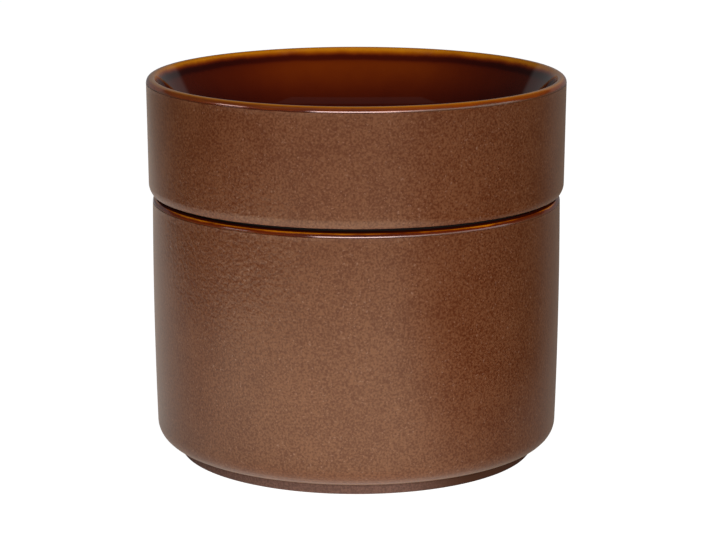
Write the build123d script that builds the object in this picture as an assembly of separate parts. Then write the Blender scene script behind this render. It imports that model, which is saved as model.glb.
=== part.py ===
from build123d import *
import os

# A round stoneware jar with a lid that has a flared dish on top and a hollow
# below, glazed matt brown outside and glossy amber inside. The lid's lower edge
# hangs clear of the jar's rim and leaves a shadow gap. Lengths are in mm
# and +Z is up. The origin is the centre of the ring that the jar stands on.
# Each section below is drawn as radius and height, and turned about the
# upright axis.

# Jar, measured over the glaze
jar_height = 94.0
jar_rim_radius = 73.2
jar_belly_swell = 0.18
jar_belly_height_share = 0.69
jar_base_draw_in = 0.9
jar_wall = 5.0
jar_floor = 6.0
jar_inner_draft = 0.8
jar_cove_radius = 10.5
rim_outer_round_share = 0.36
rim_inner_round_share = 0.18

# Foot ring that the jar stands on
foot_inset = 8.0
foot_height = 4.2
foot_width = 5.0
foot_hollow_share = 0.7
foot_edge_share = 0.3
foot_root_share = 0.15
base_corner_share = 0.9

# Lid, measured over the glaze and up from the jar's rim
lid_height = 42.8
lid_overhang = 1.35
lid_flare = 0.45
lid_undercut = 1.3
lid_edge_draw_in = 1.2
lid_edge_height = 1.8
lid_edge_radius = 0.5
lid_corner_radius = 5.4
lip_width = 3.0
lip_outer_round_share = 0.66
lip_inner_round_share = 0.4

# Flared dish in the top of the lid, and the hollow under its floor
dish_depth = 24.0
dish_draw_in = 12.2
dish_cove_radius = 13.0
dish_floor = 5.5
hollow_draft = 0.8
hollow_corner_radius = 6.0

# Ring under the lid that drops into the jar's mouth
spigot_clearance = 1.4
spigot_height = 5.0
spigot_width = 5.0
spigot_edge_share = 0.3
spigot_root_share = 0.1
seat_share = 0.52
seat_edge_radius = 0.3

# Glaze coats
glaze_thickness = 0.4
rim_glaze_lap = 2.2
lip_glaze_lap = 1.6
coat_split_share = 0.25

# Reach of a cutting window past what it cuts
overrun = 5.0

# Places that follow from these sizes
jar_belly_radius = jar_rim_radius + jar_belly_swell
jar_belly_height = jar_height * jar_belly_height_share
jar_base_radius = jar_rim_radius - jar_base_draw_in
mouth_radius = jar_rim_radius - jar_wall
jar_floor_radius = mouth_radius - jar_inner_draft
foot_radius = jar_base_radius - foot_inset
foot_inner_radius = foot_radius - foot_width
foot_hollow_height = foot_height * foot_hollow_share
foot_edge_radius = min(foot_width, foot_height) * foot_edge_share
foot_root_radius = foot_height * foot_root_share
base_corner_radius = foot_inset * base_corner_share
jar_floor_height = foot_hollow_height + jar_floor

lid_base_radius = jar_rim_radius + lid_overhang
lid_top = jar_height + lid_height
lip_outer_radius = lid_base_radius + lid_flare
lip_inner_radius = lip_outer_radius - lip_width
dish_floor_height = lid_top - dish_depth
dish_floor_radius = lip_inner_radius - dish_draw_in
hollow_height = dish_floor_height - dish_floor
spigot_radius = mouth_radius - spigot_clearance
spigot_inner_radius = spigot_radius - spigot_width
spigot_bottom = jar_height - spigot_height
hollow_radius = spigot_inner_radius - hollow_draft
spigot_edge_radius = min(spigot_width, spigot_height) * spigot_edge_share
seat_radius = jar_rim_radius - jar_wall * seat_share
spigot_root_radius = (lid_base_radius - spigot_radius) * spigot_root_share
undercut_height = jar_height + lid_undercut
lower_edge_radius = lid_base_radius - lid_edge_draw_in


# Rounds each corner of a section with its own radius
def rounded(section, corners):
    for point, radius in corners:
        vertex = section.vertices().sort_by_distance(point)[0]
        section = fillet(vertex, radius)
    return section


# Rectangle between two radii and two heights
def window(inner, outer, low, high):
    return Pos((inner + outer) / 2, (low + high) / 2) * Rectangle(outer - inner, high - low)


# Finished section of the jar, glaze included
def jar_section():
    hollow_corner = (foot_inner_radius, foot_hollow_height)
    foot_inner_edge = (foot_inner_radius, 0)
    foot_outer_edge = (foot_radius, 0)
    foot_root = (foot_radius, foot_height)
    base_corner = (jar_base_radius, foot_height)
    belly = (jar_belly_radius, jar_belly_height)
    rim_edge = (jar_rim_radius, jar_height)
    mouth_edge = (mouth_radius, jar_height)
    floor_corner = (jar_floor_radius, jar_floor_height)
    floor_centre = (0, jar_floor_height)
    hollow_centre = (0, foot_hollow_height)
    with BuildSketch() as drawing:
        with BuildLine():
            Polyline(hollow_centre, hollow_corner, foot_inner_edge, foot_outer_edge, foot_root, base_corner)
            ThreePointArc(base_corner, belly, rim_edge)
            Polyline(rim_edge, mouth_edge, floor_corner, floor_centre, hollow_centre)
        make_face()
    return rounded(drawing.sketch, [
        (hollow_corner, foot_root_radius),
        (foot_inner_edge, foot_edge_radius),
        (foot_outer_edge, foot_edge_radius),
        (foot_root, foot_root_radius),
        (base_corner, base_corner_radius),
        (rim_edge, jar_wall * rim_outer_round_share),
        (mouth_edge, jar_wall * rim_inner_round_share),
        (floor_corner, jar_cove_radius),
    ])


# Finished section of the lid in its place on the jar, glaze included
def lid_section():
    hollow_centre = (0, hollow_height)
    hollow_corner = (hollow_radius, hollow_height)
    spigot_inner_edge = (spigot_inner_radius, spigot_bottom)
    spigot_outer_edge = (spigot_radius, spigot_bottom)
    spigot_outer_root = (spigot_radius, jar_height)
    seat_edge = (seat_radius, jar_height)
    undercut_root = (seat_radius, undercut_height)
    lower_edge = (lower_edge_radius, undercut_height)
    lower_corner = (lid_base_radius, undercut_height + lid_edge_height)
    lip_outside = (lip_outer_radius, lid_top)
    lip_inside = (lip_inner_radius, lid_top)
    dish_corner = (dish_floor_radius, dish_floor_height)
    dish_centre = (0, dish_floor_height)
    with BuildSketch() as drawing:
        with BuildLine():
            Polyline(hollow_centre, hollow_corner, spigot_inner_edge, spigot_outer_edge, spigot_outer_root,
                     seat_edge, undercut_root, lower_edge, lower_corner, lip_outside, lip_inside,
                     dish_corner, dish_centre, hollow_centre)
        make_face()
    return rounded(drawing.sketch, [
        (hollow_corner, hollow_corner_radius),
        (spigot_inner_edge, spigot_edge_radius),
        (spigot_outer_edge, spigot_edge_radius),
        (spigot_outer_root, spigot_root_radius),
        (seat_edge, seat_edge_radius),
        (undercut_root, seat_edge_radius),
        (lower_edge, lid_edge_radius),
        (lower_corner, lid_corner_radius),
        (lip_outside, lip_width * lip_outer_round_share),
        (lip_inside, lip_width * lip_inner_round_share),
        (dish_corner, dish_cove_radius),
    ])


# Outermost layer of a section, one coat of glaze thick
def coat(section):
    both_sides = section + mirror(section, Plane.YZ)
    return section - offset(both_sides, -glaze_thickness)


# Parts of the jar's section where the amber glaze lies: the inside and the rim
def jar_amber_window():
    split_height = jar_floor_height - jar_floor * coat_split_share
    inside = window(0, mouth_radius + jar_wall / 2, split_height, jar_height)
    rim = window(0, jar_belly_radius + overrun, jar_height - rim_glaze_lap, jar_height + overrun)
    return inside + rim


# Part of the jar's section that is bare clay: the foot and all inside it
def jar_bare_window():
    return window(0, foot_radius + foot_root_radius, -overrun, foot_height + jar_floor * coat_split_share)


# Parts of the lid's section where the amber glaze lies: the dish and the lip
def lid_amber_window():
    split_height = dish_floor_height - dish_floor * coat_split_share
    dish = window(0, lip_inner_radius, split_height, lid_top)
    lip = window(0, lip_outer_radius + overrun, lid_top - lip_glaze_lap, lid_top + overrun)
    return dish + lip


# Parts of the lid's section that are bare clay: the seat, the undercut, the spigot and the hollow
def lid_bare_window():
    coat_reach = dish_floor * coat_split_share
    seat = window(0, lower_edge_radius - lid_edge_radius, spigot_bottom, undercut_height + coat_reach)
    hollow = window(0, spigot_radius, spigot_bottom, hollow_height + coat_reach)
    return seat + hollow


# Turns a section, or one layer of it, about the upright axis
def turned(section):
    return revolve(Plane.XZ * section, Axis.Z)


# Splits a finished section into its clay body and its two coats of glaze
def layers(section, amber_window, bare_window):
    skin = coat(section)
    amber = skin & amber_window
    brown = skin - amber_window - bare_window
    clay = section - amber - brown
    return turned(clay), turned(brown), turned(amber)


jar_body, jar_outer_glaze, jar_inner_glaze = layers(jar_section(), jar_amber_window(), jar_bare_window())
lid_body, lid_outer_glaze, lid_inner_glaze = layers(lid_section(), lid_amber_window(), lid_bare_window())

os.makedirs("parts", exist_ok=True)
nodes = {
    "jar_body": jar_body,
    "jar_outer_glaze": jar_outer_glaze,
    "jar_inner_glaze": jar_inner_glaze,
    "lid_body": lid_body,
    "lid_outer_glaze": lid_outer_glaze,
    "lid_inner_glaze": lid_inner_glaze,
}
for name, shape in nodes.items():
    export_step(shape, f"parts/{name}.step")
    print(name, round(shape.volume), "mm3")
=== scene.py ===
import bpy
import bmesh
import math
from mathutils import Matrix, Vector


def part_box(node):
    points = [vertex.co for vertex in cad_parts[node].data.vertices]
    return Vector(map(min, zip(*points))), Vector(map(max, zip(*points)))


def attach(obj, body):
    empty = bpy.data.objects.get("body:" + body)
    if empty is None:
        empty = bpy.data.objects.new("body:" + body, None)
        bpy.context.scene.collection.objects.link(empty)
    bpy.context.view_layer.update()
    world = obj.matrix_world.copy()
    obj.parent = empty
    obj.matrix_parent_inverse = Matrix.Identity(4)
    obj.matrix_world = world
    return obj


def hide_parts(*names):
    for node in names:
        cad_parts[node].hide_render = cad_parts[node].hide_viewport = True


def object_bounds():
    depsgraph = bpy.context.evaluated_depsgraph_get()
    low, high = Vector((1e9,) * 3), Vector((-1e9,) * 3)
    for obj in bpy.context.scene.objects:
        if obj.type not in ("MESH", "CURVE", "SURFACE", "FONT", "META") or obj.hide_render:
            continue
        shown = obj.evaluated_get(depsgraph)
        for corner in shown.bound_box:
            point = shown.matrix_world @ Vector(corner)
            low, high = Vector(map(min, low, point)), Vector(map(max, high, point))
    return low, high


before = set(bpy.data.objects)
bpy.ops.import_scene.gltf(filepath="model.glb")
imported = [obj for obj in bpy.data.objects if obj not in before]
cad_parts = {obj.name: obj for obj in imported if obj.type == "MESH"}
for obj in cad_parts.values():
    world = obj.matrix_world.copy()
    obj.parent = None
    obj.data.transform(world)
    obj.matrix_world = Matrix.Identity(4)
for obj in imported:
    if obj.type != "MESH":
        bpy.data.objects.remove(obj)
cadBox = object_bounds()
mm = 0.001
print("frame loaded")

# Camera at the photo's angle, for an image of 716 by 540
camera = {
    "place": (0.0006, -0.9585, 0.2776),
    "pitch": 12.49,  # degrees below the horizon
    "lens": 136.1,  # mm, like the sensor's width
    "sensor": 36,
    "nearest": 0.05,  # what lies nearer isn't drawn
}


def makeCamera():
    data = bpy.data.cameras.new("camera")
    data.lens = camera["lens"]
    data.sensor_width = camera["sensor"]
    data.clip_start = camera["nearest"]
    thing = bpy.data.objects.new("camera", data)
    thing.location = camera["place"]
    thing.rotation_euler = (math.radians(90 - camera["pitch"]), 0, 0)
    bpy.context.scene.collection.objects.link(thing)
    bpy.context.scene.camera = thing


makeCamera()
print("camera placed")


# One value on a node sheet, so that shader maths reads as sums
class Wire:
    def __init__(self, sheet, socket):
        self.sheet = sheet
        self.socket = socket

    def maths(self, operation, *values):
        return self.sheet.node("ShaderNodeMath", {"operation": operation}, dict(enumerate(values)))

    def __add__(self, other):
        return self.maths("ADD", self, other)

    def __sub__(self, other):
        return self.maths("SUBTRACT", self, other)

    def __mul__(self, other):
        return self.maths("MULTIPLY", self, other)

    def __truediv__(self, other):
        return self.maths("DIVIDE", self, other)

    def __rsub__(self, other):
        return self.maths("SUBTRACT", other, self)

    def __rtruediv__(self, other):
        return self.maths("DIVIDE", other, self)

    __radd__ = __add__
    __rmul__ = __mul__

    def function(self, operation):  # a function of this value alone, such as its square root
        return self.maths(operation, self)

    def take(self, name):  # another output of the same node
        return Wire(self.sheet, self.socket.node.outputs[name])

    def eased(self, low, high):  # 0 at low and 1 at high
        settings = {"interpolation_type": "SMOOTHSTEP"}
        values = {"Value": self, "From Min": low, "From Max": high}
        return self.sheet.node("ShaderNodeMapRange", settings, values)


# The node sheet of a material, of the world or of a geometry tree
class Sheet:
    def __init__(self, tree):
        self.tree = tree
        self.tree.nodes.clear()

    def node(self, kind, settings=None, values=None):
        made = self.tree.nodes.new(kind)
        for name, value in (settings or {}).items():
            setattr(made, name, value)
        for name, value in (values or {}).items():
            if isinstance(value, Wire):
                self.tree.links.new(value.socket, made.inputs[name])
            else:
                made.inputs[name].default_value = value
        return Wire(self, made.outputs[0]) if made.outputs else made

    def mix(self, share, first, second):  # a Mix node's sockets 6 and 7 in and 2 out are colours
        settings = {"data_type": "RGBA"}
        return self.node("ShaderNodeMix", settings, {0: share, 6: first, 7: second}).take(2)

    def spot(self):  # a point's place on the object, in metres
        return self.node("ShaderNodeTexCoord").take("Object")

    def sideRadiusHeight(self):  # how far right of the axis, how far from it, and how high
        place = self.node("ShaderNodeSeparateXYZ", None, {0: self.spot()})
        side, ahead = place.take("X"), place.take("Y")
        return side, (side * side + ahead * ahead).function("SQRT"), place.take("Z")

    def noise(self, size, detail=2, roughness=0.5):
        values = {"Vector": self.spot(), "Scale": 1 / size, "Detail": detail, "Roughness": roughness}
        return self.node("ShaderNodeTexNoise", None, values)

    def cloud(self, size):  # broad, uneven patches, from about -0.5 to 0.5
        return self.noise(size, detail=3, roughness=0.6) - 0.5


def newMaterial(name):
    material = bpy.data.materials.new(name)
    material.use_nodes = True
    return material, Sheet(material.node_tree)


def finishMaterial(sheet, values):
    shader = sheet.node("ShaderNodeBsdfPrincipled", None, values)
    sheet.node("ShaderNodeOutputMaterial", None, {"Surface": shader})


def tone(red, green, blue):
    return (red, green, blue, 1)


# Matt brown glaze with a fine metallic grain
brownGlaze = {
    "dark": (0.078, 0.013, 0.001),
    "light": (0.15, 0.05, 0.019),
    "fleck": (0.27, 0.14, 0.09),
    "gloss": (1, 0.88, 0.64),  # tint of its shine
    "sheen": 0.12,
    "sheenTint": (1, 0.5, 0.1),
    "sheenRoughness": 0.4,
    "grainSize": 0.75 * mm,
    "grainBand": (0.28, 0.72),  # the noise from which the dark turns to the light
    "fleckSize": 0.8 * mm,
    "fleckBand": (0.66, 0.76),
    "fleckShare": 0.5,
    "cloudSize": 14 * mm,
    "cloudiness": 0.25,
    "pebbleSize": 1.5 * mm,
    "pebbleDepth": 0.18 * mm,
    "pebbleSpot": (-46 * mm, -56 * mm, 84 * mm),  # where the pebbles stand out most
    "pebbleReach": (13.5 * mm, 45 * mm),  # from that spot
    "pebbleElsewhere": 0.15,
    "roughness": 0.33,
}


# How strongly the pebbles stand out: fully at their spot, and weakly elsewhere
def pebbleStrength(sheet):
    settings = {"operation": "DISTANCE"}
    away = sheet.node("ShaderNodeVectorMath", settings, {0: sheet.spot(), 1: brownGlaze["pebbleSpot"]})
    patch = 1 - away.take("Value").eased(*brownGlaze["pebbleReach"])
    return brownGlaze["pebbleElsewhere"] + patch * (1 - brownGlaze["pebbleElsewhere"])


def makeBrownGlaze():
    material, sheet = newMaterial("matt brown glaze")
    grain = sheet.noise(brownGlaze["grainSize"])
    grain = grain + sheet.cloud(brownGlaze["cloudSize"]) * brownGlaze["cloudiness"]
    speckle = grain.eased(*brownGlaze["grainBand"])
    colour = sheet.mix(speckle, tone(*brownGlaze["dark"]), tone(*brownGlaze["light"]))
    flecks = sheet.noise(brownGlaze["fleckSize"], detail=1).eased(*brownGlaze["fleckBand"])
    colour = sheet.mix(flecks * brownGlaze["fleckShare"], colour, tone(*brownGlaze["fleck"]))
    pebbles = sheet.noise(brownGlaze["pebbleSize"], detail=1)
    normal = sheet.node("ShaderNodeBump", None, {
        "Height": pebbles * pebbleStrength(sheet),
        "Distance": brownGlaze["pebbleDepth"],
        "Strength": 1.0,
    })
    finishMaterial(sheet, {
        "Base Color": colour,
        "Roughness": brownGlaze["roughness"],
        "Specular Tint": tone(*brownGlaze["gloss"]),
        "Sheen Weight": brownGlaze["sheen"],
        "Sheen Tint": tone(*brownGlaze["sheenTint"]),
        "Sheen Roughness": brownGlaze["sheenRoughness"],
        "Normal": normal,
    })
    return material


# Glossy amber glaze: the thicker it lies the deeper its colour, so it is light on the lip, has a dark
# ring just below, and deepens towards the floor; painted shade darkens it at the far sides inside and
# on the rim under the lid.
# The jar's and the lid's dictionaries say where it changes on each
amberGlaze = {
    "clear": (0.88, 0.34, 0.01),  # where it has no thickness
    "fade": (0.72, 1.21, 3.0),  # how fast each colour fades with thickness
    "lipThickness": 0.3,
    "wallThickness": 2.2,
    "floorThickness": 1.45,  # on top of the wall's
    "floorFrom": 6 * mm,  # below the lip, where the wall begins to deepen towards the floor
    "ringThickness": 1.35,  # on top of the wall's
    "ringDepth": 3.6 * mm,  # below the lip
    "ringWidth": 1.0 * mm,
    "sideShadeReach": (20 * mm, 60 * mm),  # where the painted shade at the sides grows, to the left and right of the middle
    "unevenness": 1.5 * mm,
    "mottle": 0.5,
    "cloudSize": 16 * mm,
    "roughness": 0.06,
    "lustreBending": 1.8,  # index of refraction of the mirror-like shine outside on lip and rim
    "lustreMetal": 0.35,
    "lustreRoughness": 0.15,
    "run": (0.125, 0.042, 0.014),  # where its lower edge outside runs into the brown
    "runRoughness": 0.33,
    "seatShade": 3.0,  # painted shadow of the lid, on top, on the ring of the rim that the lid rests on
}


# How thick the glaze lies, with painted shade added far to the left and right inside: depth is
# measured down from the top, side from the middle
def amberThicknessAndShade(piece, depth, side, outside):
    pastLip = depth.eased(*piece["lightBand"])
    nearFloor = depth.eased(amberGlaze["floorFrom"], piece["top"] - piece["floorHeight"])
    offRing = (depth - amberGlaze["ringDepth"]) / amberGlaze["ringWidth"]
    ring = 1 / (1 + offRing * offRing * offRing * offRing)
    aside = side.function("ABSOLUTE").eased(*amberGlaze["sideShadeReach"])
    thickness = pastLip * (amberGlaze["wallThickness"] - amberGlaze["lipThickness"])
    thickness = thickness + amberGlaze["lipThickness"] + ring * amberGlaze["ringThickness"]
    thickness = thickness + nearFloor * amberGlaze["floorThickness"]
    # painted shade: darker inside at the far left and right, where less light falls
    thickness = thickness + aside * pastLip * (1 - outside) * piece["sideShade"]
    return thickness + outside * piece["outsideThickness"]


# The light that comes back through the glaze, one colour at a time
def amberColour(sheet, thickness):
    parts = {}
    for index, (clear, fade) in enumerate(zip(amberGlaze["clear"], amberGlaze["fade"])):
        parts[index] = (thickness * -fade).function("EXPONENT") * clear
    return sheet.node("ShaderNodeCombineColor", None, parts)


def makeAmberGlaze(name, piece):
    material, sheet = newMaterial(name)
    side, radius, height = sheet.sideRadiusHeight()
    cloud = sheet.cloud(amberGlaze["cloudSize"])
    depth = piece["top"] - height + cloud * amberGlaze["unevenness"]
    outside = radius.eased(*piece["outside"])
    thickness = amberThicknessAndShade(piece, depth, side, outside) + cloud * amberGlaze["mottle"]
    # painted shadow of the lid on the jar's rim, made as thicker glaze
    if "seat" in piece:
        thickness = thickness + height.eased(*piece["seat"]) * amberGlaze["seatShade"]
    offMiddle = (side - piece["lustreMiddle"]).function("ABSOLUTE")
    lustre = outside * (1 - offMiddle.eased(*piece["lustreReach"]))
    run = outside * depth.eased(*piece["runBand"]) * (1 - lustre)
    smooth = amberGlaze["roughness"]
    roughness = lustre * (amberGlaze["lustreRoughness"] - smooth) + smooth
    finishMaterial(sheet, {
        "Base Color": sheet.mix(run, amberColour(sheet, thickness), tone(*amberGlaze["run"])),
        "Roughness": roughness + run * (amberGlaze["runRoughness"] - smooth),
        "Metallic": lustre * amberGlaze["lustreMetal"],
        "Coat Weight": lustre,
        "Coat IOR": amberGlaze["lustreBending"],
        "Coat Roughness": amberGlaze["lustreRoughness"],
    })
    return material


# Bare fired clay of the foot and the seat, with painted shadow in the undercut beside the seat and
# painted shade on the right of the foot
clay = {
    "pale": (0.17, 0.085, 0.06),
    "deep": (0.1, 0.05, 0.036),
    "grainSize": 0.7 * mm,
    "grainBand": (0.35, 0.65),
    "roughness": 0.75,
    "shine": 0.15,
    "undercutShade": (0.012, 0.007, 0.006),  # painted shadow, near black, in the undercut beside the seat
    "undercutShadeHeight": (93.9 * mm, 94 * mm),  # above the table
    "undercutShadeRadius": (69 * mm, 69.4 * mm),  # from the axis
    "rightFootShade": (0.06, 0.02, 0.008),  # painted shade on the right of the foot, where little light falls
    "rightFootShadeReach": (12 * mm, 40 * mm),  # to the right of the axis
}


def makeClay():
    material, sheet = newMaterial("bare stoneware")
    side, radius, height = sheet.sideRadiusHeight()
    grain = sheet.noise(clay["grainSize"], detail=3, roughness=0.6)
    high = height.eased(*clay["undercutShadeHeight"])
    # painted shadow in the undercut beside the seat
    undercutShade = high * radius.eased(*clay["undercutShadeRadius"])
    # painted shade on the right of the foot
    rightFootShade = side.eased(*clay["rightFootShadeReach"]) * (1 - high)
    colour = sheet.mix(grain.eased(*clay["grainBand"]), tone(*clay["deep"]), tone(*clay["pale"]))
    colour = sheet.mix(undercutShade, colour, tone(*clay["undercutShade"]))
    colour = sheet.mix(rightFootShade, colour, tone(*clay["rightFootShade"]))
    finishMaterial(sheet, {
        "Base Color": colour,
        "Roughness": clay["roughness"],
        "Specular IOR Level": clay["shine"],
    })
    return material


# A coat of glaze thins out where it ends on bare clay
coat = {
    "thickness": 0.4 * mm,
    "taper": 0.5 * mm,  # how long the thinning is
    "taperDepth": 0.38 * mm,  # how much of the thickness it takes
    "endStep": 0.06,  # share of a row; it keeps the shading clean up to a coat's cut end
}

# How finely the outlines and the turned pieces are divided, and how far their surface wanders
turning = {
    "rowStep": 2.2 * mm,
    "arcStep": 0.3 * mm,
    "fewestArcSteps": 4,
    "coatSegments": 320,
    "claySegments": 256,
    "wander": 0.05 * mm,
    "wanderSize": 18 * mm,
    "wanderBias": 0.4,  # added so that a surface only moves inwards, inside the frame's box
    "joinReach": 0.001 * mm,  # points of the seam and of the poles this near to each other are joined
}


# Follows a line of corners, rounding each with its own radius
def roundedPath(corners):
    path = []
    for index, (radius, height, bend) in enumerate(corners):
        here = Vector((radius, height))
        if bend == 0:
            path.append(here)
            continue
        before = (Vector(corners[index - 1][:2]) - here).normalized()
        after = (Vector(corners[index + 1][:2]) - here).normalized()
        half = before.angle(after) / 2
        start = here + before * bend / math.tan(half)
        middle = here + (before + after).normalized() * bend / math.sin(half)
        spoke = start - middle
        turn = (math.pi - 2 * half) * math.copysign(1, -before.cross(after))
        steps = max(turning["fewestArcSteps"], math.ceil(abs(turn) * bend / turning["arcStep"]))
        for step in range(steps + 1):
            angle = turn * step / steps
            path.append(middle + Vector((
                spoke.x * math.cos(angle) - spoke.y * math.sin(angle),
                spoke.x * math.sin(angle) + spoke.y * math.cos(angle),
            )))
    return path


# Adds points so that no step along a path is longer than the row step
def subdivided(path):
    points = [path[0]]
    for start, end in zip(path, path[1:]):
        parts = max(1, math.ceil((end - start).length / turning["rowStep"]))
        points += [start.lerp(end, part / parts) for part in range(1, parts + 1)]
    return points


# The part of an outline between the points nearest to two places
def partBetween(path, start, end):
    first = min(range(len(path)), key=lambda index: (path[index] - Vector(start)).length)
    last = min(range(len(path)), key=lambda index: (path[index] - Vector(end)).length)
    return path[first:last + 1]


# Moves points of an outline into the clay; each point has its own depth
def sunk(path, depths):
    moved = []
    for index, point in enumerate(path):
        along = path[min(index + 1, len(path) - 1)] - path[max(index - 1, 0)]
        inward = Vector((-along.y, along.x)).normalized()
        place = point + inward * depths[index]
        moved.append(Vector((max(place.x, 0), place.y)))
    return moved


# How deep a coat's face lies under the outline: it sinks towards the coat's start if that has a taper
def faceDepths(path, taper):
    depths = []
    length = 0
    for before, point in zip([path[0], *path], path):
        length += (point - before).length
        thinned = max(0, 1 - length / taper) if taper else 0
        depths.append(coat["taperDepth"] * thinned ** 2)
    return depths


# Section of a coat of glaze: its face, and its back on the clay
def coatSection(path, taper=0):
    near = coat["endStep"]
    path = [path[0], path[0].lerp(path[1], near), *path[1:-1], path[-1].lerp(path[-2], near), path[-1]]
    face = sunk(path, faceDepths(path, taper))
    back = sunk(path, [coat["thickness"]] * len(path))
    if path[-1].x == 0:
        return back[::-1] + face  # both ends are on the axis
    return face + back[::-1] + face[:1]


# Section of the clay: the outline, sunk under the coats
def claySection(path, bareEnd):
    depths = [0] * bareEnd + [coat["thickness"]] * (len(path) - bareEnd)
    return sunk(path, depths)


# Geometry nodes that roll a grid up about the upright axis, one row for each point of an outline
def turnedGrid(sheet, outline, segments):
    rows = sheet.node("GeometryNodeAttributeDomainSize", None, {0: outline})
    span = rows - 1  # the grid is centred, and its rows are 1 apart
    grid = sheet.node("GeometryNodeMeshGrid", None, {
        "Size X": span,
        "Size Y": 1.0,
        "Vertices X": rows,
        "Vertices Y": segments + 1,
    })
    place = sheet.node("ShaderNodeSeparateXYZ", None, {0: sheet.node("GeometryNodeInputPosition")})
    row = (place.take("X") + span * 0.5 + 0.5).function("FLOOR")
    angle = (place.take("Y") + 0.5) * (2 * math.pi)
    settings = {"data_type": "FLOAT_VECTOR", "domain": "POINT"}
    sample = sheet.node("GeometryNodeSampleIndex", settings, {
        "Geometry": outline,
        "Value": sheet.node("GeometryNodeInputPosition"),
        "Index": row,
    })
    profile = sheet.node("ShaderNodeSeparateXYZ", None, {0: sample})
    radius = profile.take("X")
    around = sheet.node("ShaderNodeCombineXYZ", None, {
        0: radius * angle.function("COSINE"),
        1: radius * angle.function("SINE"),
        2: profile.take("Z"),
    })
    turned = sheet.node("GeometryNodeSetPosition", None, {"Geometry": grid, "Position": around})
    outwards = sheet.node("GeometryNodeFlipFaces", None, {0: turned})
    return sheet.node("GeometryNodeMergeByDistance", None, {
        "Geometry": outwards,
        "Distance": turning["joinReach"],
    })


# Geometry nodes that sink a surface by a slow noise, as one shaped by hand wanders
def wandering(sheet, surface, wander, size, seed):
    drift = sheet.node("ShaderNodeTexNoise", {"noise_dimensions": "4D"}, {
        "Vector": sheet.node("GeometryNodeInputPosition"),
        "W": seed,
        "Scale": 1 / size,
        "Detail": 1.0,
    })
    inward = sheet.node("ShaderNodeVectorMath", {"operation": "SCALE"}, {
        0: sheet.node("GeometryNodeInputNormal"),
        "Scale": (drift + turning["wanderBias"]) * wander * -1,
    })
    return sheet.node("GeometryNodeSetPosition", None, {"Geometry": surface, "Offset": inward})


# The whole tree, from an outline to a turned piece with its material
def makeTurningTree():
    tree = bpy.data.node_groups.new("turned pot", "GeometryNodeTree")
    inputs = {
        "Outline": "Geometry",
        "Segments": "Int",
        "Wander": "Float",
        "Wander Size": "Float",
        "Seed": "Float",
        "Material": "Material",
    }
    for name, kind in inputs.items():
        tree.interface.new_socket(name, in_out="INPUT", socket_type="NodeSocket" + kind)
    tree.interface.new_socket("Pot", in_out="OUTPUT", socket_type="NodeSocketGeometry")
    sheet = Sheet(tree)
    given = sheet.node("NodeGroupInput")
    pot = turnedGrid(sheet, given.take("Outline"), given.take("Segments"))
    pot = wandering(sheet, pot, given.take("Wander"), given.take("Wander Size"), given.take("Seed"))
    pot = sheet.node("GeometryNodeSetShadeSmooth", None, {"Geometry": pot})
    pot = sheet.node("GeometryNodeRealizeInstances", None, {"Geometry": pot})
    values = {"Geometry": pot, "Material": given.take("Material")}
    pot = sheet.node("GeometryNodeSetMaterial", None, values)
    sheet.node("NodeGroupOutput", None, {0: pot})
    return tree


turningTree = makeTurningTree()


# What the tree makes of a section, as a plain closed mesh
def turnedMesh(name, section, inputs):
    outline = bpy.data.meshes.new(name)
    edges = [(index, index + 1) for index in range(len(section) - 1)]
    outline.from_pydata([(point.x, 0, point.y) for point in section], edges, [])
    blank = bpy.data.objects.new(name + "_outline", outline)
    bpy.context.scene.collection.objects.link(blank)
    modifier = blank.modifiers.new("turning", "NODES")
    modifier.node_group = turningTree
    for item in turningTree.interface.items_tree:
        if item.in_out == "INPUT" and item.name in inputs:
            modifier[item.identifier] = inputs[item.name]
    graph = bpy.context.evaluated_depsgraph_get()
    mesh = bpy.data.meshes.new_from_object(blank.evaluated_get(graph))
    blank.modifiers.clear()
    bpy.data.objects.remove(blank)
    return mesh


def pointFacesOutwards(mesh):
    skin = bmesh.new()
    skin.from_mesh(mesh)
    bmesh.ops.recalc_face_normals(skin, faces=skin.faces)
    skin.to_mesh(mesh)
    skin.free()


def turnedPiece(name, section, material, segments, seed):
    mesh = turnedMesh(name, section, {
        "Segments": segments,
        "Wander": turning["wander"],
        "Wander Size": turning["wanderSize"],
        "Seed": float(seed),
        "Material": material,
    })
    pointFacesOutwards(mesh)
    piece = bpy.data.objects.new(name, mesh)
    bpy.context.scene.collection.objects.link(piece)
    print("turned", name, len(mesh.polygons), "faces")
    return piece


def dress(piece, body, node):
    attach(piece, body)
    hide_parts(node)


brown = makeBrownGlaze()
bareClay = makeClay()
print("brown glaze and clay made")


# Jar or lid in three layers: brown glaze on the outline from start to edge, amber glaze from edge
# to end, and the clay under both, bare before the start
def makeGlazed(body, outline, start, edge, end, amber, seed):
    outer = partBetween(outline, start, edge)
    inner = partBetween(outline, edge, end)
    bareEnd = outline.index(outer[0]) + 1
    fine, coarse = turning["coatSegments"], turning["claySegments"]
    skin = turnedPiece(f"{body}_brown_glaze", coatSection(outer, coat["taper"]), brown, fine, seed)
    liner = turnedPiece(f"{body}_amber_glaze", coatSection(inner), amber, fine, seed + 1)
    core = turnedPiece(f"{body}_clay", claySection(outline, bareEnd), bareClay, coarse, seed + 2)
    dress(skin, body, f"{body}_outer_glaze")
    dress(liner, body, f"{body}_inner_glaze")
    dress(core, body, f"{body}_body")


# The coats of glaze end where the frame's do
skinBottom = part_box("jar_outer_glaze")[0].z
jarFloor, jarTop = (corner.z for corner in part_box("jar_inner_glaze"))
dishFloor, lidTop = (corner.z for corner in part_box("lid_inner_glaze"))

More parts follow.
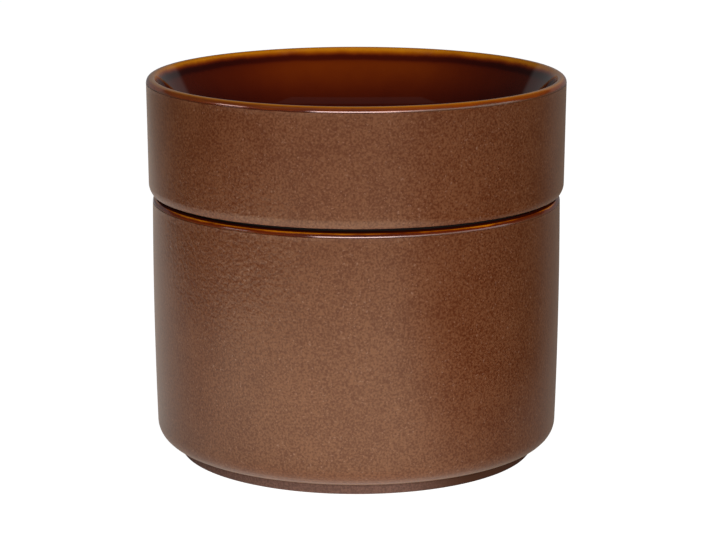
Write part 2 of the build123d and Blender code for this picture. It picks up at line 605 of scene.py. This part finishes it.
# Jar, measured over the glaze; pairs are where a change of its amber glaze starts and where it ends
jar = {
    "seed": 1,  # for the wander of its first layer, and the next two for its other layers
    "top": jarTop,
    "rimRadius": 73.2 * mm,
    "baseDrawIn": 0.9 * mm,  # how much the wall narrows down to its base
    "swell": 0.54 * mm,  # how far the wall stands out past a straight line
    "wall": 5.0 * mm,
    "rimOuterRound": 1.8 * mm,
    "rimInnerRound": 0.9 * mm,
    "floorHeight": jarFloor + coat["thickness"],
    "innerDraft": 0.8 * mm,  # how much the inside narrows towards the floor
    "cove": 10.5 * mm,  # rounding between the inside and the floor
    "baseCorner": 7.2 * mm,  # rounding between the wall and the underside
    "footHeight": skinBottom,
    "footInset": 8.0 * mm,  # in from the base of the wall
    "footWidth": 5.0 * mm,
    "footHollowShare": 0.7,  # of the foot's height, like the next two
    "footEdgeShare": 0.3,
    "footRootShare": 0.15,
    "rimLap": 2.2 * mm,  # how far the amber glaze runs down outside
    "lightBand": (0.3 * mm, 0.8 * mm),  # below the top
    "outside": (72.2 * mm, 73 * mm),  # from the axis, where the rim's outside begins
    "outsideThickness": 0.45,  # on top, where the glaze runs down outside
    "sideShade": 0.0,  # painted shade on top, inside, at the far left and right
    "runBand": (0.8 * mm, 2.1 * mm),  # below the top
    "seat": (93.6 * mm, 93.8 * mm),  # where the painted shadow of the lid on the rim begins and is full, above the table
    "lustreMiddle": -5 * mm,  # to the right of the axis
    "lustreReach": (12 * mm, 32 * mm),
}
jar["mouth"] = jar["rimRadius"] - jar["wall"]
jar["baseRadius"] = jar["rimRadius"] - jar["baseDrawIn"]
jar["footRadius"] = jar["baseRadius"] - jar["footInset"]
jar["hollow"] = jar["footHeight"] * jar["footHollowShare"]
jar["footEdge"] = jar["footHeight"] * jar["footEdgeShare"]
jar["footRoot"] = jar["footHeight"] * jar["footRootShare"]


# An outline's corners are radius, height and how far they are rounded
def jarOutline():
    footInner = jar["footRadius"] - jar["footWidth"]
    path = roundedPath([
        (0, jar["hollow"], 0),
        (footInner, jar["hollow"], jar["footRoot"]),
        (footInner, 0, jar["footEdge"]),
        (jar["footRadius"], 0, jar["footEdge"]),
        (jar["footRadius"], jar["footHeight"], jar["footRoot"]),
        (jar["baseRadius"], jar["footHeight"], jar["baseCorner"]),
        (jar["rimRadius"], jar["top"], jar["rimOuterRound"]),
        (jar["mouth"], jar["top"], jar["rimInnerRound"]),
        (jar["mouth"] - jar["innerDraft"], jar["floorHeight"], jar["cove"]),
        (0, jar["floorHeight"], 0),
    ])
    path = subdivided(path)
    for point in path:
        rise = (point.y - jar["footHeight"]) / (jar["top"] - jar["footHeight"])
        outside = point.x > jar["rimRadius"] - jar["wall"] / 2
        if outside and 0 < rise < 1:
            point.x += 4 * jar["swell"] * rise * (1 - rise)  # it swells the most halfway up
    return path


def makeJar():
    amber = makeAmberGlaze("amber glaze of the jar", jar)
    footRoot = (jar["footRadius"] + jar["footRoot"], jar["footHeight"])
    rimEdge = (jar["rimRadius"], jar["top"] - jar["rimLap"])
    floorCentre = (0, jar["floorHeight"])
    makeGlazed("jar", jarOutline(), footRoot, rimEdge, floorCentre, amber, jar["seed"])


makeJar()
print("jar made")

# Lid, measured over the glaze, with its pairs as in the jar
lid = {
    "seed": 4,
    "top": lidTop,
    "bottom": jarTop,
    "overhang": 1.35 * mm,  # how far it stands out past the jar's rim
    "flare": 0.45 * mm,  # how much wider it is at the lip
    "lipWidth": 3.0 * mm,
    "lipOuterShare": 0.66,  # rounding of the lip, as shares of its width
    "lipInnerShare": 0.4,
    "floorHeight": dishFloor + coat["thickness"],  # the floor of the dish
    "dishDrawIn": 12.2 * mm,
    "dishCove": 13.0 * mm,
    "floor": 5.5 * mm,  # how thick the floor of the dish is
    "hollowDraft": 0.8 * mm,
    "hollowCorner": 6.0 * mm,
    "spigotClearance": 1.4 * mm,  # between the spigot and the jar's mouth
    "spigotWidth": 5.0 * mm,
    "spigotHeight": 5.0 * mm,
    "spigotEdge": 1.5 * mm,
    "spigotRoot": 0.78 * mm,
    "seatInset": 2.6 * mm,  # from the jar's outside to the outer edge of the seat
    "seatEdge": 0.3 * mm,
    "undercut": 1.3 * mm,  # how far the lower edge hangs clear of the jar's rim
    "edgeDrawIn": 1.2 * mm,
    "edgeHeight": 1.8 * mm,
    "edge": 0.5 * mm,  # rounding of the fine lower edge
    "corner": 5.4 * mm,  # rounding of the lower corner beside it
    "lipLap": 1.9 * mm,
    "lightBand": (0.6 * mm, 3.3 * mm),
    "outside": (73.6 * mm, 74.6 * mm),
    "outsideThickness": 1.25,
    # painted shade inside the dish, at its far left and right
    "sideShade": 1.1,
    "runBand": (0.9 * mm, 1.8 * mm),
    "lustreMiddle": -22 * mm,
    "lustreReach": (28 * mm, 50 * mm),
}
lid["baseRadius"] = jar["rimRadius"] + lid["overhang"]
lid["lipRadius"] = lid["baseRadius"] + lid["flare"]
lid["lipOuterRound"] = lid["lipWidth"] * lid["lipOuterShare"]
lid["lipInnerRound"] = lid["lipWidth"] * lid["lipInnerShare"]
lid["spigotRadius"] = jar["mouth"] - lid["spigotClearance"]
lid["seatRadius"] = jar["rimRadius"] - lid["seatInset"]


def lidOutline():
    spigotInner = lid["spigotRadius"] - lid["spigotWidth"]
    spigotBottom = lid["bottom"] - lid["spigotHeight"]
    hollowTop = lid["floorHeight"] - lid["floor"]
    lipInside = lid["lipRadius"] - lid["lipWidth"]
    undercut = lid["bottom"] + lid["undercut"]
    path = roundedPath([
        (0, hollowTop, 0),
        (spigotInner - lid["hollowDraft"], hollowTop, lid["hollowCorner"]),
        (spigotInner, spigotBottom, lid["spigotEdge"]),
        (lid["spigotRadius"], spigotBottom, lid["spigotEdge"]),
        (lid["spigotRadius"], lid["bottom"], lid["spigotRoot"]),
        (lid["seatRadius"], lid["bottom"], lid["seatEdge"]),
        (lid["seatRadius"], undercut, lid["seatEdge"]),
        (lid["baseRadius"] - lid["edgeDrawIn"], undercut, lid["edge"]),
        (lid["baseRadius"], undercut + lid["edgeHeight"], lid["corner"]),
        (lid["lipRadius"], lid["top"], lid["lipOuterRound"]),
        (lipInside, lid["top"], lid["lipInnerRound"]),
        (lipInside - lid["dishDrawIn"], lid["floorHeight"], lid["dishCove"]),
        (0, lid["floorHeight"], 0),
    ])
    return subdivided(path)


def makeLid():
    amber = makeAmberGlaze("amber glaze of the lid", lid)
    lowerEdge = (lid["baseRadius"] - lid["edgeDrawIn"] - lid["edge"], lid["bottom"] + lid["undercut"])
    lipEdge = (lid["lipRadius"], lid["top"] - lid["lipLap"])
    floorCentre = (0, lid["floorHeight"])
    makeGlazed("lid", lidOutline(), lowerEdge, lipEdge, floorCentre, amber, lid["seed"])


makeLid()
print("lid made")

# Pale table, which looks evenly white and throws most of its light on the jar from in front
table = {
    "corners": [(-0.3, -0.42), (0.16, -0.42), (0.14, -0.1), (0.34, 1.4), (-0.5, 1.4)],
    "tone": (0.3, 0.3, 0.3),
    "roughness": 0.6,
    "white": 1.0,  # its glow as the camera sees it
    "glow": 0.2,  # its glow as the jar sees it, all over
    "frontGlow": 1.75,  # more of that in front of the jar
    "frontSide": (-0.03, 0.085),  # this fades to the right between these two lines
    "frontSlant": 0.45,  # how far those lines lean
    "frontBack": (-0.13, -0.01),  # and it fades to the back between these two
    "leftGlow": 0.35,  # more of it further back, at the left
    "leftSide": (-0.1, -0.04),  # this fades to the right between these two lines
}


def tableGlow(sheet):
    place = sheet.node("ShaderNodeSeparateXYZ", None, {0: sheet.spot()})
    side, ahead = place.take("X"), place.take("Y")
    slanted = side + ahead * table["frontSlant"]
    back = ahead.eased(*table["frontBack"])
    front = (1 - slanted.eased(*table["frontSide"])) * (1 - back)
    left = (1 - side.eased(*table["leftSide"])) * back
    return front * table["frontGlow"] + left * table["leftGlow"] + table["glow"]


def makeTable():
    material, sheet = newMaterial("pale table")
    seen = sheet.node("ShaderNodeLightPath").take("Is Camera Ray")
    glow = tableGlow(sheet) * (1 - seen) + seen * table["white"]
    finishMaterial(sheet, {
        "Base Color": tone(*table["tone"]),
        "Roughness": table["roughness"],
        "Specular IOR Level": 0.0,
        "Emission Color": sheet.node("ShaderNodeCombineColor", None, {0: glow, 1: glow, 2: glow}),
        "Emission Strength": 1.0,
    })
    mesh = bpy.data.meshes.new("table")
    corners = [(x, y, 0) for x, y in table["corners"]]
    mesh.from_pydata(corners, [], [list(range(len(corners)))])
    mesh.materials.append(material)
    thing = bpy.data.objects.new("table", mesh)
    bpy.context.scene.collection.objects.link(thing)


# Each softbox has a bearing in degrees, 0 towards the camera and positive to the picture's right,
# a rise above the horizon, metres away, and a spread in degrees across and up as seen from the jar
softboxes = {
    "front": {"bearing": -1, "rise": 17, "away": 1.3, "across": 42, "up": 16, "power": 7.1},
    "front right": {"bearing": 33, "rise": 16, "away": 1.3, "across": 26, "up": 20, "power": 3.2},
    "left": {"bearing": -71, "rise": 24, "away": 1.0, "across": 16, "up": 8, "power": 0.5},
    "right": {"bearing": 70, "rise": 16, "away": 1.0, "across": 44, "up": 18, "power": 2.0},
    "top": {"bearing": 0, "rise": 72, "away": 1.2, "across": 70, "up": 24, "power": 0.25},
}


def makeSoftbox(name, box):
    data = bpy.data.lights.new(name, "AREA")
    data.shape = "RECTANGLE"
    data.size = 2 * box["away"] * math.tan(math.radians(box["across"] / 2))
    data.size_y = 2 * box["away"] * math.tan(math.radians(box["up"] / 2))
    data.energy = box["power"]
    light = bpy.data.objects.new(name, data)
    bearing = math.radians(box["bearing"])
    rise = math.radians(box["rise"])
    flat = math.cos(rise)
    heading = Vector((math.sin(bearing) * flat, -math.cos(bearing) * flat, math.sin(rise)))
    middle = Vector((0, 0, cadBox[1][2] / 2))
    light.location = middle + heading * box["away"]
    light.rotation_euler = heading.to_track_quat("Z", "Y").to_euler()
    light.visible_camera = False
    bpy.context.scene.collection.objects.link(light)


# The camera sees plain white behind the table; the jar sees a bright backdrop and a dark room
backdrop = {
    "glow": 0.18,
    "turn": -1,  # degrees from straight behind the jar to its middle, positive to the right
    "heading": 54,  # degrees from its middle to either side
    "rise": 29,  # degrees from the horizon to its top
    "blur": 0.06,  # share of its size over which its edge fades
    "roomGlow": 0.04,
}


def makeWorld():
    world = bpy.data.worlds.new("studio")
    world.use_nodes = True
    bpy.context.scene.world = world
    sheet = Sheet(world.node_tree)
    way = sheet.node("ShaderNodeSeparateXYZ", None, {0: sheet.node("ShaderNodeTexCoord")})
    side, ahead, rise = way.take("X"), way.take("Y"), way.take("Z")
    heading = side.maths("ARCTAN2", side, ahead) - math.radians(backdrop["turn"])
    heading = heading / math.radians(backdrop["heading"])
    climb = rise.maths("MAXIMUM", rise, 0.0).function("ARCSINE") / math.radians(backdrop["rise"])
    reach = (heading * heading + climb * climb).function("SQRT")
    card = 1 - reach.eased(1 - backdrop["blur"], 1 + backdrop["blur"])
    seen = sheet.node("ShaderNodeLightPath").take("Is Camera Ray")
    glow = card * backdrop["glow"] + backdrop["roomGlow"]
    glow = glow * (1 - seen) + seen
    light = sheet.node("ShaderNodeBackground", None, {"Color": tone(1, 1, 1), "Strength": glow})
    sheet.node("ShaderNodeOutputWorld", None, {"Surface": light})


makeTable()
for name, softbox in softboxes.items():
    makeSoftbox(name, softbox)
makeWorld()
bpy.context.scene.view_settings.view_transform = "Standard"
print("studio lit")
